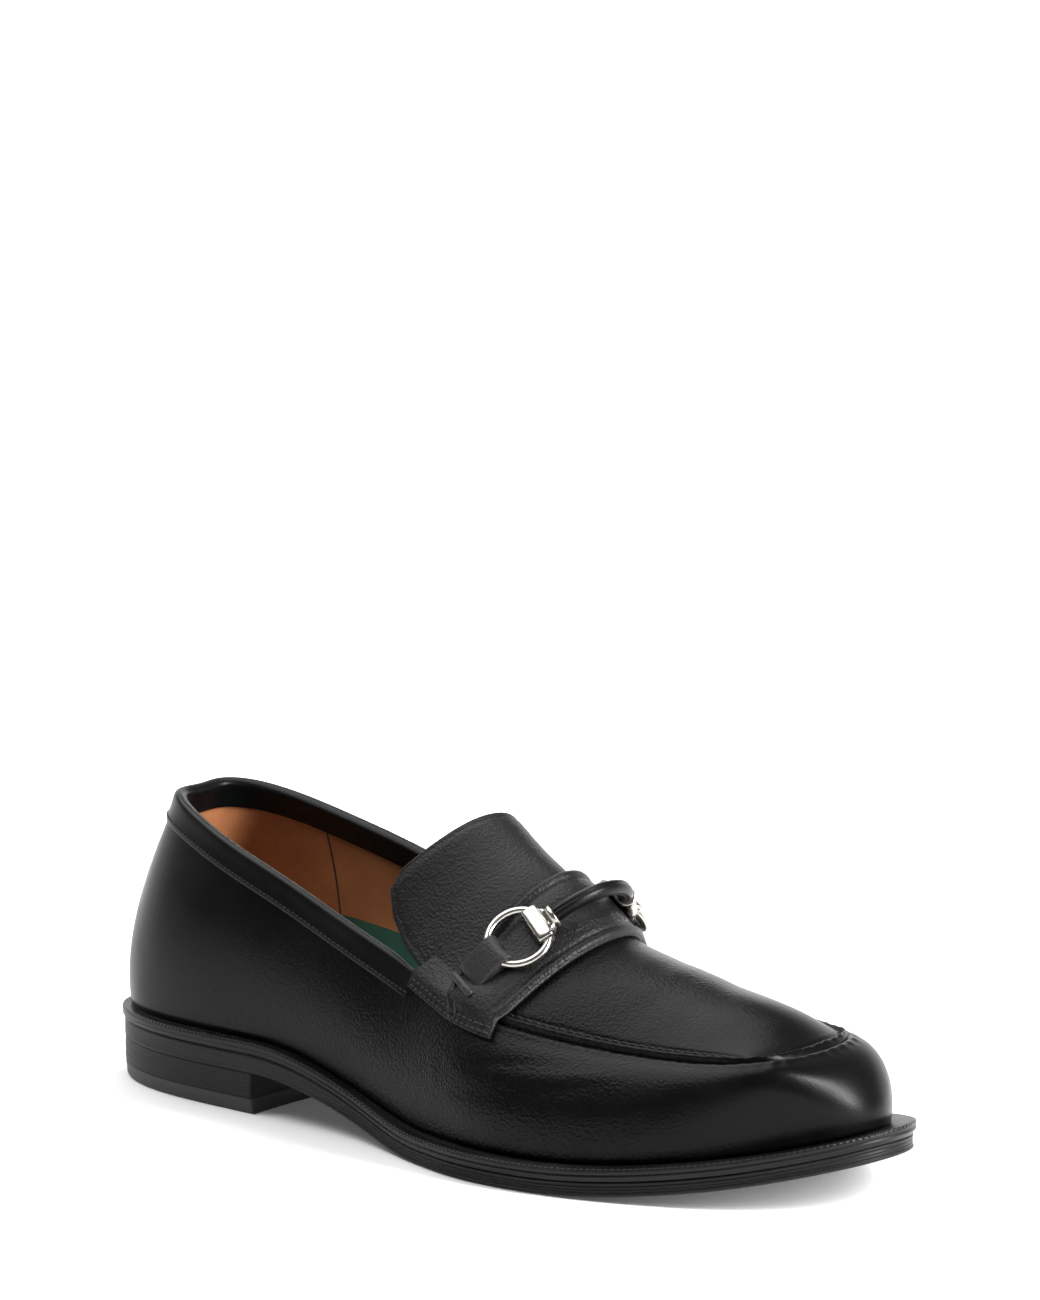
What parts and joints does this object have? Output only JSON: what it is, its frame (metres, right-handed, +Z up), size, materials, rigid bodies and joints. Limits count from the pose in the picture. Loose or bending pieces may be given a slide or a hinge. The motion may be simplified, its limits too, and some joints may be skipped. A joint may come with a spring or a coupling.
{
  "type": "bit loafer",
  "caption": "Right men's slip-on shoe with an apron front, raised saddle strap, ring bit and low stacked heel.",
  "frame": {"origin": "bottom centre of the shoe's bounding box, on the floor", "axes": "+X from heel to toe, +Y to the wearer's left (inner side), +Z up"},
  "size_m": [0.3042, 0.1126, 0.0995],
  "materials": {
    "calf_leather": "polished black calf",
    "grain_leather": "black, fine pebbled grain",
    "smooth_leather": "smooth black",
    "sole_leather": "black edge, ribbed",
    "welt_leather": "black, wheeled",
    "stack_leather": "black stacked edge",
    "lift_rubber": "matte",
    "lining_green": "dark green, matte",
    "bit_metal": "polished nickel"
  },
  "bodies": {
    "root": {"outsole": "sole_leather", "welt": "welt_leather", "insole": "lining_green", "heel_stack": "stack_leather", "top_lift": "lift_rubber", "upper": "calf_leather", "tongue": "grain_leather", "saddle_strap": "grain_leather", "collar_binding": "smooth_leather", "back_stay": "smooth_leather", "ring_lateral": "bit_metal", "ring_medial": "bit_metal", "tab_lateral": "smooth_leather", "tab_medial": "smooth_leather", "ferrule_lateral": "bit_metal", "ferrule_medial": "bit_metal", "bit_bar": "smooth_leather"}
  },
  "joints": []
}
